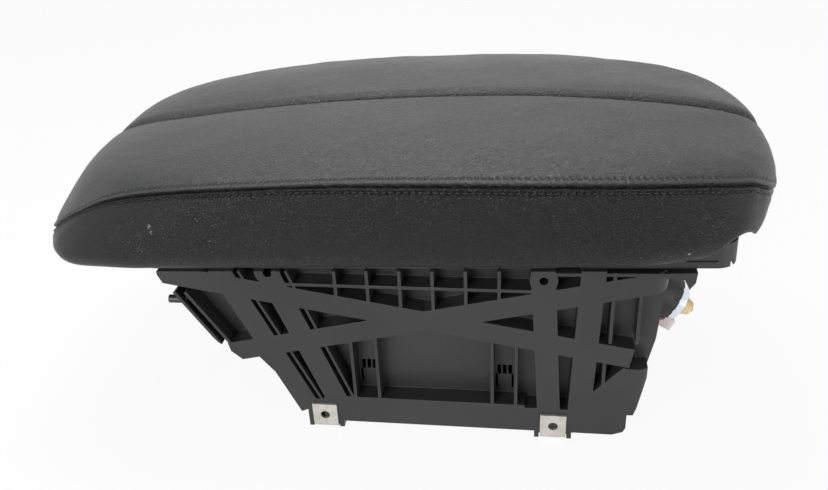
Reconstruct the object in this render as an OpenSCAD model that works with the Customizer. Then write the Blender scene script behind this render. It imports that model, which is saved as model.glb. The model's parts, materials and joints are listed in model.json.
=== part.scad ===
// Centre console armrest: two padded lids that open outwards over a ribbed storage box
// +X is the front end, +Y the left side of the car, +Z up; the four clip towers stand on Z = 0

/* [Storage box] */
// Width over the braces of the two side walls
box_w = 194; // [186:1:204]
// Depth of the braces in front of the wall skin
brace_depth = 12.5; // [10:0.5:14]
// Thickness of the moulded walls
wall = 2.5; // [2:0.1:3]
// Front end of the box at its top edge
box_front = 158.5; // [150:0.5:164]
// Rear end of the box at its top edge
box_rear = -144.5; // [-150:0.5:-138]
// Underside of the box floor above the ground
floor_z = 5; // [4:0.5:8]
// Width of the diagonal bars of the side braces
bar_w = 13.5; // [11:0.5:15]
// Pitch of the small upright ribs
rib_pitch = 19.33; // [16:0.01:21]
// Thickness of the thin ribs
rib_t = 2; // [1.5:0.1:2.6]
// Height of the long lower rail
low_rail_z = 25; // [22:0.5:28]
// Height of the long upper rail
high_rail_z = 108; // [104:0.5:110]

/* [Clip towers] */
// Distance between the clip holes along the box
clip_pitch = 145.3; // [140:0.1:150]
// Place of the rear clip hole
rear_clip_x = -49.5; // [-52:0.5:-46]
// Width of a clip tower
tower_w = 23; // [21:0.5:25]
// Height of the clip hole above the ground
clip_hole_z = 10.5; // [10:0.5:12]
// Width of a sheet nut clip
clip_w = 16; // [14:0.5:18]
// Sheet thickness of a nut clip
clip_t = 1.6; // [1.2:0.1:2]
// Radius of the hole through a nut clip
clip_hole_r = 3; // [2.5:0.1:3.5]

/* [Lid frame] */
// Height of the frame's underside at the middle of the box
deck_z = 119; // [117:0.5:122]
// Upward slope of the frame towards the front, in degrees
deck_tilt = 1.8; // [1.4:0.1:2.2]
// Thickness of the frame
frame_t = 8; // [7:0.5:9]
// Front end of the frame
frame_front = 193.5; // [188:0.5:196]
// Rear end of the frame
frame_rear = -156; // [-162:0.5:-152]
// Height of the front apron that holds the buttons
apron_h = 15; // [14:0.5:16]

/* [Hinges] */
// Radius of a hinge pin
pin_r = 2.5; // [2:0.1:2.8]
// Radius of an arm's knuckle
knuckle_r = 4; // [3.8:0.1:4.4]
// Running clearance round a pin
pin_gap = 0.05; // [0.03:0.01:0.1]
// Place of the rear hinge along the frame
rear_hinge_x = -90; // [-94:1:-84]
// Place of the front hinge along the frame
front_hinge_x = 101; // [96:1:106]
// Width of a hinge arm
arm_w = 12; // [9:0.5:16]

/* [Lids] */
// Overhang of the padded top beyond the sides of the box
pad_over = 22; // [20:0.5:24]
// Front end of the padded top
pad_front = 220; // [216:0.5:222]
// Rear end of the padded top
pad_rear = 221; // [218:0.5:224]
// Height of the padded top at its crest
pad_top_z = 194; // [188:0.5:200]
// Height that the top falls from the middle to the sides
crown = 8; // [4:0.5:10]
// Half of the gap between the two lids
split_gap = 0.8; // [0.6:0.1:1.5]
// Gap between the frame and the lids' undersides
lid_gap = 2; // [1.5:0.1:2.5]
// Height of a lid's inner core
core_h = 34; // [30:1:36]
// Thickness of the foam at the split
split_foam = 8; // [7:0.5:10]

/* [Buttons] */
// Width of a release button
button_w = 32; // [26:1:36]
// Height of a release button
button_h = 5.5; // [5:0.5:6]
// Distance of a button's middle from the split
button_y = 29; // [26:1:32]
// Travel of a release button
button_travel = 4; // [3:0.5:5]

/* [Power socket] */
// Inner radius of the socket's barrel
socket_r = 10.5; // [10.4:0.1:11]
// Length of the socket's barrel
socket_len = 33; // [31:0.5:36]
// Height of the socket's axis at the front wall
socket_z = 84; // [80:1:88]
// Angle of the socket's axis below level, in degrees
socket_dip = 30; // [24:1:34]
// Distance of the socket's axis from the middle of the box
socket_y = -52; // [-56:1:-44]

/* [Hidden] */
$fn = 48;
eps = 0.01;
gap = 0.3;

// Box profile seen from the side, from the rear top corner round the bottom to the front top corner
skin_half = box_w / 2 - brace_depth;
cavity_half = skin_half - wall;
box_top = 130;
floor_rear = -62;
floor_front = 141;
box_profile = [[box_rear, box_top], [box_rear, 112], [box_rear + 8, 94], [-114, 64], [-97, 49], [-68, 12],
    [floor_rear, floor_z], [floor_front - 9, floor_z], [floor_front - 2.5, floor_z + 2.5],
    [floor_front, floor_z + 8], [145.5, 26], [box_front - 4, 70], [box_front, box_top]];

// Clip towers and tower faces
clip_xs = [rear_clip_x, rear_clip_x + clip_pitch];
tower_h = 22;
tower_deep = 24;
plate_t = 3.4;
face_y = box_w / 2;
corner_r = 10;

// Frame opening, apron and hinge seats, in the frame's own level
frame_half = face_y - 3.5;
frame_round = 12;
opening_half = cavity_half - 6;
opening_rear = -128;
opening_front = 130;
apron_rear = 163;
lip_drop = 6;
hinge_y = frame_half - 3.5;
hinge_z = frame_t / 2;
hinge_xs = [rear_hinge_x, front_hinge_x];
slot_w = arm_w + 0.8;
pin_len = slot_w + 22;
screw_xs = [-118, -40, 40, 138];
frame_screw_y = skin_half - 2;

// Lid base and core, in the frame's own level
base_z = frame_t + lid_gap;
base_t = 2.5;
core_rear = -170;
core_front = 157;
pad_half = face_y + pad_over;
core_half = pad_half - 13;
core_wall = 2.5;
core_round_rear = 44;
core_round_front = 30;
flange_l = 36;
flange_t = 3;
flange_in = hinge_y - 12;
flange_out = hinge_y + 12;
catch_x = 143;

// Buttons: depth of the cap, how far it stands out of the apron, and how far back its hook stands from the catch
button_deep = 12;
button_proud = 1.5;
hook_back = 7;
hook_slot = 14;
stem_w = 7;

// Rings of the padded form: side, front and rear inset, distance from the split, share of the height, and the
// squareness of the front and the rear end
pad_rings = [
    [20, 24, 28, 4, 0, 4.8, 6.5], [10, 17, 12, split_gap, 0, 4.8, 6.5],
    [4, 11.5, 5, split_gap, 0.06, 4.8, 6.5], [1.2, 7, 1, split_gap, 0.2, 4.6, 6.2],
    [0, 3, 1, split_gap, 0.4, 4, 5], [0.4, 0, 6, split_gap, 0.65, 3.5, 3.5],
    [2.2, 2.5, 15, split_gap, 0.85, 3.3, 3], [4.5, 6.5, 23, split_gap, 0.94, 3.1, 2.9],
    [9, 12, 31, split_gap, 0.98, 3, 2.8], [16, 20, 40, 1.6, 0.993, 2.9, 2.7],
    [30, 35, 54, 3.2, 1, 2.8, 2.6], [52, 56, 74, 5.5, 1, 2.8, 2.6], [80, 82, 95, 8, 1, 2.8, 2.6],
    [100, 106, 115, 11, 1, 2.8, 2.6]];
pad_steps = 28;
rim_drop = 4.2;
apron_rise = 5.8;
lip_r = 6;
lip_w = 8;

// Places a shape on the tilted deck where the frame and the lids sit
module on_deck() translate([0, 0, deck_z]) rotate([0, -deck_tilt, 0]) children();

// Extrudes an outline drawn in X and Z, between two distances from the middle
module side_slab(y_from, y_to) translate([0, y_to, 0]) rotate([90, 0, 0]) linear_extrude(y_to - y_from) children();

// Same shape on both sides of the box
module both_sides() {
    children();
    mirror([0, 1, 0]) children();
}

// A convex outline with every edge moved inwards
function edge_normal(a, b) = let (d = b - a, n = norm(d)) [-d[1] / n, d[0] / n];
function line_meet(p, d, q, e) = let (k = (e[0] * (q[1] - p[1]) - e[1] * (q[0] - p[0]))
    / (e[0] * d[1] - e[1] * d[0])) p + k * d;
function inset(points, d) = let (n = len(points)) [for (i = [0:n - 1])
    let (a = points[(i + n - 1) % n], b = points[i], c = points[(i + 1) % n],
         p = a + d * edge_normal(a, b), q = b + d * edge_normal(b, c)) line_meet(p, b - a, q, c - b)];

// A straight bar between two points, drawn flat
module bar(a, b, w) let (d = b - a) translate(a) rotate(atan2(d[1], d[0])) translate([0, -w / 2])
    square([norm(d), w]);

// Upright rib of the side wall
module rib(x, z_low, z_high, t = rib_t) translate([x - t / 2, z_low]) square([t, z_high - z_low]);

// Everything above the deck's underside, used to trim the top of the box
module above_deck(lift = 0) on_deck() translate([-300, -150, lift]) cube([600, 300, 80]);

// Bars that cross on the side wall, with the long rails and the four columns
bar_a = [[-150, 114.5], [140, 63.6]];
bar_b = [[-106, 56.5], [156.5, 117]];
column_w = 14;
columns = [[[-107, 122], [-59, 14]], [[-77, 122], [-40, 20]], [[86.9, 124], [93.5, 8]], [[115.2, 124], [111, 15]]];
window_xs = [[-28.5, -13], [58, 72.5]];

module side_braces() {
    bar(bar_a[0], bar_a[1], bar_w);
    bar(bar_b[0], bar_b[1], bar_w);
    for (c = columns) bar(c[0], c[1], column_w);
    for (i = [-3:3]) rib(23.5 + i * rib_pitch, 92 + abs(i) * 2.5, 121);
    translate([-68, high_rail_z - rib_t / 2]) square([151, rib_t]);
    translate([-36, low_rail_z - rib_t]) square([114, rib_t]);
    rib(126.8, 74, 122);
    rib(142, 74, 122);
    for (w = window_xs) {
        rib(w[0], low_rail_z, 74);
        rib(w[1], low_rail_z, 74);
    }
    bar([113, 29], [137, 56], 3);
    rib(124.5, 42, 68);
    for (c = [columns[0], columns[1]]) bar(c[0] + [11.5, 0], c[1] + [11.5, 0], 1.6);
    for (x = [-136, -129]) bar([x, 100], [x + 24, 62], rib_t);
}

// Flush faces of the side wall: the strip under the lower rail and the corner behind the diagonal rib
module flush_faces() {
    translate([-50, floor_z]) square([190, low_rail_z - floor_z - rib_t]);
    polygon([[113, low_rail_z - 4], [114, 30], [137.5, 56], [150, 56], [150, low_rail_z - 4]]);
}

// Screw pads near the top of the side wall
pad_screw_xs = [-75, 87.5];
module side_wall_relief() {
    difference() {
        intersection() {
            union() {
                side_braces();
                flush_faces();
                for (x = pad_screw_xs) translate([x, 115.3]) circle(r = 8);
            }
            polygon(box_profile);
        }
        for (x = pad_screw_xs) translate([x, 115.3]) circle(r = 2.6);
    }
}

// Rail near the front of the side wall, and the hooked corner tab
module corner_tab() {
    side_slab(-face_y, -skin_half + 1) bar([90, 119.6], [159, 121.6], rib_t);
    side_slab(-face_y, -face_y + 9) polygon([[154, 122.5], [171, 123.4], [170.5, 117], [167.5, 112.5], [164.5, 118.5],
        [154, 119.5]]);
}

// Rounding of the upright front corner of the side braces, which leans forwards with the front wall
module corner_round() translate([box_front, -face_y, box_top]) rotate([0, 3.8, 0]) translate([0, 0, -140])
    difference() {
        translate([-corner_r, -1, 0]) cube([corner_r + 5, corner_r + 1, 150]);
        translate([-corner_r, corner_r, -1]) cylinder(r = corner_r, h = 152);
    }

// Snap window: a sprung tongue between two slots, framed by a comb of three openings
module snap_window(w) {
    mid = (w[0] + w[1]) / 2;
    for (i = [-1:1]) translate([mid + i * 3.4 - 1.1, -skin_half - 1, 39]) cube([2.2, wall + 2, 7]);
    for (s = [-1, 1]) translate([mid + s * 5 - 0.6, -skin_half - 1, 28.5]) cube([1.2, wall + 2, 10.5]);
}

// Clip tower at one hole, open behind its face plate so that a nut clip slides on from below
module clip_tower(x) translate([x, 0, 0]) difference() {
    translate([-tower_w / 2, -face_y, 0]) cube([tower_w, tower_deep, tower_h]);
    translate([-clip_w / 2 - 0.6, -face_y + plate_t, -1]) cube([clip_w + 1.2, 8.6, 19.5]);
    translate([-clip_w / 2 - 0.6, -face_y - 1, -1]) cube([clip_w + 1.2, plate_t + 2, 1 + plate_low]);
    translate([0, -face_y - 1, clip_hole_z]) rotate([-90, 0, 0]) cylinder(r = clip_hole_r + 1.5, h = plate_t + 2);
}
plate_low = 3.6;

// Posts under the frame that take its screws
module screw_post(x) on_deck() translate([x, -frame_screw_y, -26]) cylinder(r = 4.2, h = 40);

// The power socket's own axis: zero on the front wall, up to the lamp holder outside
socket_seat_in = -16;
socket_seat_out = 7.5;
socket_back = socket_seat_in + 0.5 + socket_len;
socket_disc = 6;
module at_socket() translate([box_front - 2.5, socket_y, socket_z]) rotate([0, 90 + socket_dip, 0]) children();
module socket_boss(z_from, z_to) at_socket() translate([0, 0, z_from]) cylinder(r = socket_r + 4.8, h = z_to - z_from);

module storage_bin() color([0.07, 0.07, 0.075]) difference() {
    union() {
        difference() {
            union() {
                side_slab(-skin_half, skin_half) polygon(box_profile);
                both_sides() {
                    difference() {
                        side_slab(-face_y, -skin_half + 1) side_wall_relief();
                        corner_round();
                    }
                    corner_tab();
                    for (x = clip_xs) clip_tower(x);
                }
            }
            difference() {
                side_slab(-cavity_half, cavity_half) polygon(cavity_profile());
                both_sides() for (x = screw_xs) screw_post(x);
                socket_boss(socket_seat_in, 4);
            }
            both_sides() for (w = window_xs) snap_window(w);
        }
        rear_ribs();
        corner_pegs();
        socket_boss(-1, socket_seat_out);
    }
    above_deck();
    both_sides() for (x = screw_xs) on_deck() translate([x, -frame_screw_y, -18]) cylinder(r = 1.7, h = 40);
    both_sides() for (x = clip_xs) translate([x - clip_w / 2 - 0.6, -face_y + plate_t, -1])
        cube([clip_w + 1.2, 8.6, 19.5]);
    at_socket() translate([0, 0, -30]) cylinder(r = socket_r + 2.2, h = 50);
}

// The cavity: the profile with its edges moved in, open at the top
function cavity_profile() = let (p = inset(box_profile, wall)) [for (i = [0:len(p) - 1])
    (i == 0 || i == len(p) - 1) ? [p[i][0], box_top + 5] : p[i]];

// Upright ribs on the sloping rear wall
module rear_ribs() for (y = [-60, -20, 20, 60]) side_slab(y - rib_t / 2, y + rib_t / 2)
    polygon([[box_rear + 0.5, 112], [box_rear + 8, 94], [-114, 64], [-97, 49], [-68, 12], [-72, 12], [-101, 46],
        [-119, 62], [box_rear + 2, 92], [box_rear - 3, 112]]);

// Locating pegs at the rear corners
module corner_pegs() both_sides() translate([box_rear + 2.5, -face_y + 5, 92])
    rotate([0, 90, 0]) cylinder(r = 2.6, h = 12);

module bin_mat() color([0.11, 0.11, 0.115]) translate([floor_rear + 8, -cavity_half + 2, floor_z + wall]) difference() {
    cube([floor_front - floor_rear - 22, 2 * cavity_half - 4, 2]);
    for (i = [1:14]) translate([i * 12, 8, 1.2]) cube([2, 2 * cavity_half - 20, 2]);
}

// Rounded rectangle drawn flat, with the corners of each end given separately
module rounded_plate(x0, x1, y0, y1, r_rear, r_front) {
    translate([x0 + r_rear, y0]) square([x1 - x0 - r_rear - r_front, y1 - y0]);
    translate([x0, y0 + r_rear]) square([r_rear + eps, y1 - y0 - 2 * r_rear]);
    translate([x1 - r_front - eps, y0 + r_front]) square([r_front + eps, y1 - y0 - 2 * r_front]);
    for (y = [y0 + r_rear, y1 - r_rear]) translate([x0 + r_rear, y]) circle(r = r_rear);
    for (y = [y0 + r_front, y1 - r_front]) translate([x1 - r_front, y]) circle(r = r_front);
}

// Frame that carries both lids, with the apron, the hinge seats and a lip that drops into the box
module lid_frame() color([0.075, 0.075, 0.08]) on_deck() difference() {
    union() {
        linear_extrude(frame_t) rounded_plate(frame_rear, frame_front, -frame_half, frame_half, 10, frame_round);
        linear_extrude(apron_h) intersection() {
            rounded_plate(frame_rear, frame_front, -frame_half, frame_half, 10, frame_round);
            translate([apron_rear, -100]) square([60, 200]);
        }
        translate([0, 0, -lip_drop]) linear_extrude(lip_drop + 1)
            rounded_plate(opening_rear - 2, opening_front + 2, -opening_half - 2, opening_half + 2, 8, 8);
    }
    translate([0, 0, -20]) linear_extrude(60)
        rounded_plate(opening_rear, opening_front, -opening_half, opening_half, 6, 6);
    translate([0, 0, -eps]) linear_extrude(3) translate([apron_rear + 3, -frame_half + 2.5])
        square([frame_front - apron_rear - 6, 2 * frame_half - 5]);
    both_sides() {
        for (x = hinge_xs) hinge_seat(x);
        for (x = screw_xs) translate([x, -frame_screw_y, 0]) {
            translate([0, 0, -1]) cylinder(r = 2.2, h = frame_t + 2);
            translate([0, 0, frame_t - 2.4]) cylinder(r = 4.2, h = 5);
        }
        button_pocket();
        translate([apron_rear + 2, -frame_half - 1, 4]) cube([frame_front - apron_rear - 14, 2, 1.4]);
        for (x = buffer_xs) translate([x, -opening_half - 8, frame_t - 3]) cylinder(r = 2, h = 5);
    }
}
buffer_xs = [-140, 156];

// Cut for one hinge: the slot that the arm swings through and the bores of the pin
module hinge_seat(x) {
    translate([x - slot_w / 2, -frame_half - 1, -1]) cube([slot_w, frame_half - hinge_y + knuckle_r + 1.4, frame_t + 2]);
    translate([x - pin_len / 2, -hinge_y, hinge_z]) rotate([0, 90, 0]) cylinder(r = pin_r + pin_gap, h = pin_len);
}

// Room for one button inside the apron
module button_pocket() {
    pocket_x = frame_front + button_proud - button_deep - button_travel - gap;
    translate([pocket_x, -button_y - button_w / 2 - gap, 3 - gap]) cube([40, button_w + 2 * gap, button_h + 2 * gap]);
    translate([apron_rear + 1, -button_y - stem_w / 2 - gap, 1.4 - gap])
        cube([pocket_x - apron_rear, stem_w + 2 * gap, 3 + 2 * gap]);
    translate([catch_x - hook_back - button_travel - 2.5, -button_y - hook_slot / 2, -1])
        cube([frame_front - 20 - catch_x + hook_back + button_travel, hook_slot, apron_h + 3]);
}

module frame_screws() color([0.72, 0.73, 0.74]) on_deck() both_sides() for (x = screw_xs)
    translate([x, -frame_screw_y, 0]) difference() {
        union() {
            translate([0, 0, -14]) cylinder(r = 1.7, h = 14 + frame_t - 2.4);
            translate([0, 0, frame_t - 2.4]) cylinder(r = 3.6, h = 2);
        }
        translate([0, 0, frame_t - 1.6]) cylinder(r = 1.6, h = 3, $fn = 6);
    }

// Sheet nut clip: two leaves and the bend under the face plate, with a threaded barrel at the back
module clip_nut(x) translate([x, -face_y, 0]) {
    bend_r = plate_t / 2 + clip_t + 0.05;
    leaf_top = clip_hole_z + 8.3;
    bend_z = plate_low - 0.1;
    difference() {
        union() {
            translate([-clip_w / 2, plate_t / 2, bend_z]) rotate([0, 90, 0]) difference() {
                cylinder(r = bend_r, h = clip_w);
                translate([0, 0, -1]) cylinder(r = bend_r - clip_t, h = clip_w + 2);
                translate([-20, -10, -1]) cube([20, 20, clip_w + 2]);
            }
            translate([-clip_w / 2, -clip_t - 0.05, bend_z]) cube([clip_w, clip_t, leaf_top - bend_z]);
            translate([-clip_w / 2, plate_t + 0.05, bend_z]) cube([clip_w, clip_t, leaf_top - bend_z - 2]);
            translate([0, plate_t + clip_t, clip_hole_z]) rotate([-90, 0, 0]) cylinder(r = 4.6, h = 4.6);
        }
        translate([0, -clip_t - 2, clip_hole_z]) rotate([-90, 0, 0]) cylinder(r = clip_hole_r, h = 20);
    }
}

module clip_nuts() color([0.78, 0.77, 0.70]) both_sides() for (x = clip_xs) clip_nut(x);

module hinge_pins() color([0.7, 0.71, 0.72]) on_deck() both_sides() for (x = hinge_xs)
    translate([x - pin_len / 2 + gap, -hinge_y, hinge_z]) rotate([0, 90, 0]) cylinder(r = pin_r, h = pin_len - 2 * gap);

// Rubber buffers pressed into the frame's top
module lid_buffers() color([0.05, 0.05, 0.05]) on_deck() both_sides() for (x = buffer_xs)
    translate([x, -opening_half - 8, 0]) {
        translate([0, 0, frame_t - 3]) cylinder(r = 1.95, h = 3.1);
        translate([0, 0, frame_t]) cylinder(r = 5, h = lid_gap - gap);
    }

// Power socket, from its collar inside the box to the lamp holder outside
module socket_barrel() color([0.80, 0.82, 0.84]) at_socket() difference() {
    translate([0, 0, socket_seat_in + 0.5]) cylinder(r = socket_r + 0.8, h = socket_len);
    translate([0, 0, socket_seat_in]) cylinder(r = socket_r, h = socket_len - 0.3);
    translate([0, 0, socket_disc]) cylinder(r = 3.45, h = 40);
}

module socket_collar() color([0.06, 0.06, 0.065]) at_socket() difference() {
    union() {
        translate([0, 0, socket_seat_in - 3]) cylinder(r = socket_r + 5, h = 3);
        translate([0, 0, socket_seat_in - 1]) cylinder(r = socket_r + 2.1, h = 16);
    }
    translate([0, 0, socket_seat_in + 0.5]) cylinder(r = socket_r + 0.85, h = 40);
    translate([0, 0, socket_seat_in - 10]) cylinder(r = socket_r, h = 20);
}

module socket_ring_nut() color([0.05, 0.05, 0.055]) at_socket() difference() {
    translate([0, 0, socket_seat_out]) cylinder(r = socket_r + 4.6, h = 4);
    translate([0, 0, socket_seat_out - 5]) cylinder(r = socket_r + 0.85, h = 20);
    for (a = [0:30:330]) rotate(a) translate([socket_r + 5, 0, socket_seat_out - 1]) cylinder(r = 1.2, h = 8);
}

// Insulator: a disc across the barrel and a nose that comes out at the back
module socket_base() color([0.86, 0.78, 0.55]) at_socket() difference() {
    union() {
        translate([0, 0, socket_disc]) cylinder(r = socket_r - 0.05, h = 2);
        translate([0, 0, socket_disc + 1]) cylinder(r = 3.4, h = socket_back - socket_disc);
        translate([0, 0, socket_back]) cylinder(r = 6.2, h = 3);
        translate([0, 0, socket_back + 3]) cylinder(r1 = 6.2, r2 = 4.4, h = 5);
    }
    translate([0, 0, socket_disc - 1]) cylinder(r = 1.6, h = 40);
    translate([0, 0, socket_disc - 1]) cylinder(r = 4.05, h = 2);
}

module socket_centre_contact() color([0.75, 0.62, 0.35]) at_socket() {
    translate([0, 0, socket_disc]) cylinder(r = 4, h = 0.95);
    translate([0, 0, socket_disc + 0.5]) cylinder(r = 1.55, h = socket_back - socket_disc + 9.5);
}

// Lamp holder clipped under the barrel
module socket_lamp_holder() color([0.93, 0.88, 0.86]) at_socket() difference() {
    translate([socket_r + 0.85, -4, socket_seat_out + 4.2]) cube([7, 8, 11]);
    translate([socket_r + 4.6, 0, socket_seat_out + 7]) cylinder(r = 2.2, h = 20);
}

// Release button: a cap with a stem that ends in an upright hook, whose nose points forwards
module release_button() color([0.06, 0.06, 0.065]) on_deck() {
    front = frame_front + button_proud;
    hook_x = catch_x - hook_back;
    translate([front - button_deep, -button_y - button_w / 2, 3]) cube([button_deep, button_w, button_h]);
    translate([hook_x, -button_y - stem_w / 2, 1.4]) cube([front - 7 - hook_x, stem_w, 3]);
    translate([hook_x, -button_y - stem_w / 2, 1.4]) cube([3, stem_w, base_z - 1.2 - gap - 1.4]);
    translate([hook_x, -button_y - stem_w / 2, 6.9]) cube([4.5, stem_w, 1.6]);
}
module right_release_button() release_button();
module left_release_button() mirror([0, 1, 0]) release_button();

// Closing plate under a lid, with recesses for the hinge arms
module lid_plan(grow = 0) rounded_plate(core_rear - grow, core_front + grow, -core_half - grow,
    -split_gap - split_foam + grow, core_round_rear, core_round_front);

module lid_base() color([0.09, 0.09, 0.095]) on_deck() difference() {
    union() {
        translate([0, 0, base_z]) linear_extrude(base_t) lid_plan(-core_wall - gap);
        for (x = hinge_xs) translate([x - flange_l / 2 - 2, -flange_out - 1, base_z])
            cube([flange_l + 4, flange_out - flange_in + 3, flange_t + base_t]);
    }
    for (x = hinge_xs) translate([x - flange_l / 2 - gap, -flange_out - gap, base_z - 1])
        cube([flange_l + 2 * gap, flange_out - flange_in + 2 * gap, flange_t + 1]);
    arm_screw_holes(1.6, base_z, 12);
    for (p = panel_screws) translate([p[0], -p[1], base_z - 1]) cylinder(r = 2, h = 12);
    translate([-60, -70, base_z - 1]) linear_extrude(1.8) difference() {
        rounded_plate(-50, 175, 0, 46, 8, 8);
        rounded_plate(-48, 173, 2, 44, 6, 6);
    }
}
panel_screws = [[-150, 32], [-152, 74], [-20, 82], [140, 80], [128, 16], [10, 18]];
module arm_screw_holes(r, z, h) for (x = hinge_xs) for (s = [-1, 1])
    translate([x + s * 13, -flange_in - 6, z]) cylinder(r = r, h = h);

// Hard core under the padding, open below, with stiffening ribs and screw posts
module lid_core() color([0.10, 0.10, 0.105]) on_deck() difference() {
    union() {
        difference() {
            translate([0, 0, base_z]) linear_extrude(core_h) lid_plan();
            translate([0, 0, base_z - 1]) linear_extrude(core_h + 1 - core_wall) lid_plan(-core_wall);
        }
        intersection() {
            translate([0, 0, base_z + 14]) linear_extrude(core_h - 15) lid_plan(-1);
            union() {
                for (x = [-150:45:120]) translate([x, -120, 0]) cube([rib_t, 120, 60]);
                translate([-200, -58, 0]) cube([400, rib_t, 60]);
            }
        }
        for (p = panel_screws) translate([p[0], -p[1], base_z + base_t]) cylinder(r = 4, h = core_h - base_t - 1);
    }
    for (p = panel_screws) translate([p[0], -p[1], base_z - 1]) cylinder(r = 1.55, h = 16);
}

module lid_arms() color([0.62, 0.63, 0.64]) on_deck() for (x = hinge_xs) translate([x, 0, 0]) difference() {
    union() {
        translate([-flange_l / 2, -flange_out, base_z]) cube([flange_l, flange_out - flange_in, flange_t]);
        translate([-arm_w / 2, -hinge_y - knuckle_r, hinge_z]) cube([arm_w, 2 * knuckle_r, base_z - hinge_z + 0.5]);
        translate([-arm_w / 2, -hinge_y, hinge_z]) rotate([0, 90, 0]) cylinder(r = knuckle_r, h = arm_w);
    }
    translate([-arm_w, -hinge_y, hinge_z]) rotate([0, 90, 0]) cylinder(r = pin_r + pin_gap, h = 2 * arm_w);
    for (s = [-1, 1]) translate([s * 13, -flange_in - 6, 0]) {
        cylinder(r = 1.9, h = 30);
        translate([0, 0, base_z - eps]) cylinder(r1 = 3.6, r2 = 1.9, h = 1.7);
    }
}

// Screws of a lid: the countersunk ones hold the arms, the others the closing plate
module lid_screws() color([0.66, 0.67, 0.68]) on_deck() {
    for (x = hinge_xs) for (s = [-1, 1]) translate([x + s * 13, -flange_in - 6, base_z]) {
        cylinder(r1 = 3.45, r2 = 1.55, h = 1.9);
        cylinder(r = 1.55, h = 9);
    }
    for (p = panel_screws) translate([p[0], -p[1], 0]) {
        translate([0, 0, base_z - 1.2]) cylinder(r = 3.2, h = 1.2);
        translate([0, 0, base_z - 0.2]) cylinder(r = 1.5, h = 12);
    }
}

// Catch lug under the front of a lid: its foot points back, towards the button's hook
module lid_catch() color([0.5, 0.51, 0.52]) on_deck() translate([catch_x, -button_y, 0]) {
    translate([-6, -9, base_z - 1.2]) cube([12, 18, 1.2]);
    translate([0, -6, 4.9]) cube([2.5, 12, base_z - 6]);
    translate([-2.2, -6, 4.9]) cube([4.7, 12, 1.7]);
}

// Heights of the padded form
function crest(x) = let (d = x - 25) pad_top_z - (d > 0 ? 0.00033 : 0.00036) * d * d - 5 * pow(abs(x) / 214, 12);
function lip(y) = let (a = min(1, max(0, 1 - (y - split_gap) / lip_w))) lip_r * (1 - sqrt(1 - a * a));
function pad_top(x, y) = crest(x) - (crown - 4.5 * max(0, x) / 200) * pow(y / 112, 2) - lip(y);
function past_frame(x, y) = norm([max(0, x - frame_front + frame_round), max(0, y - frame_half + frame_round)])
    - frame_round;
function apron_lift(x) = min(apron_rise, 0.16 * max(0, x - 130));
function rim(x, y) = (rim_drop * min(1, (x + 225) / 60) + 0.7 * apron_lift(x))
    * min(1, max(0, (past_frame(x, y) - 4) / 5));
function pad_low(x, y) = let (d = x - 9.5) deck_z + 14.2 + 0.0285 * d - 0.000084 * d * d + apron_lift(x)
    - 0.1 * max(0, -x - 165) - rim(x, y);
function arc_point(ring, a) = let (front = cos(a) >= 0, n = front ? ring[5] : ring[6],
    l = front ? pad_front - ring[1] : pad_rear - ring[2],
    x = (front ? 1 : -1) * l * pow(abs(cos(a)), 2 / n),
    y = ring[3] + (pad_half - ring[0] - ring[3]) * pow(abs(sin(a)), 2 / n)) [x, y];
function raise_point(ring, p) = let (low = pad_low(p[0], p[1]))
    [p[0], -p[1], low + (pad_top(p[0], p[1]) - low) * ring[4]];
function ring_points(ring) = concat(
    [for (i = [0:pad_steps]) raise_point(ring, arc_point(ring, 180 * i / pad_steps))],
    [for (i = [pad_steps - 1:-1:1]) raise_point(ring, [arc_point(ring, 180 * i / pad_steps)[0], ring[3]])]);

module pad_form() {
    n = 2 * pad_steps;
    m = len(pad_rings);
    points = [for (ring = pad_rings) each ring_points(ring)];
    sides = [for (k = [0:m - 2], i = [0:n - 1]) each [
        [k * n + i, (k + 1) * n + i, k * n + (i + 1) % n],
        [k * n + (i + 1) % n, (k + 1) * n + i, (k + 1) * n + (i + 1) % n]]];
    function cap(base, flip) = [for (i = [0:pad_steps - 1]) let (a = base + i, b = base + i + 1,
        c = base + (n - i - 1) % n, d = base + (n - i) % n) each (
            i == 0 ? [flip ? [a, b, c] : [a, c, b]] :
            i == pad_steps - 1 ? [flip ? [a, b, d] : [a, d, b]] :
            flip ? [[a, b, c], [a, c, d]] : [[a, c, b], [a, d, c]])];
    polyhedron(points, concat(sides, cap(0, true), cap((m - 1) * n, false)), convexity = 6);
}

// Padding and cover of a lid, hollow where the core fits
module lid_cushion() color([0.055, 0.055, 0.06]) difference() {
    pad_form();
    on_deck() translate([0, 0, -20]) linear_extrude(base_z + core_h + gap + 20) lid_plan(gap);
}

module right_lid_base() lid_base();
module right_lid_core() lid_core();
module right_cushion() lid_cushion();
module right_hinge_arms() lid_arms();
module right_lid_screws() lid_screws();
module right_lid_catch() lid_catch();
module left_lid_base() mirror([0, 1, 0]) lid_base();
module left_lid_core() mirror([0, 1, 0]) lid_core();
module left_cushion() mirror([0, 1, 0]) lid_cushion();
module left_hinge_arms() mirror([0, 1, 0]) lid_arms();
module left_lid_screws() mirror([0, 1, 0]) lid_screws();
module left_lid_catch() mirror([0, 1, 0]) lid_catch();

storage_bin();
bin_mat();
lid_frame();
frame_screws();
clip_nuts();
hinge_pins();
lid_buffers();
socket_barrel();
socket_collar();
socket_base();
socket_centre_contact();
socket_ring_nut();
socket_lamp_holder();
right_release_button();
left_release_button();
right_lid_base();
right_lid_core();
right_cushion();
right_hinge_arms();
right_lid_screws();
right_lid_catch();
left_lid_base();
left_lid_core();
left_cushion();
left_hinge_arms();
left_lid_screws();
left_lid_catch();
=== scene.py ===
import json
import math
import bmesh
import bpy
import numpy as np
from mathutils import Matrix, Vector


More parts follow.
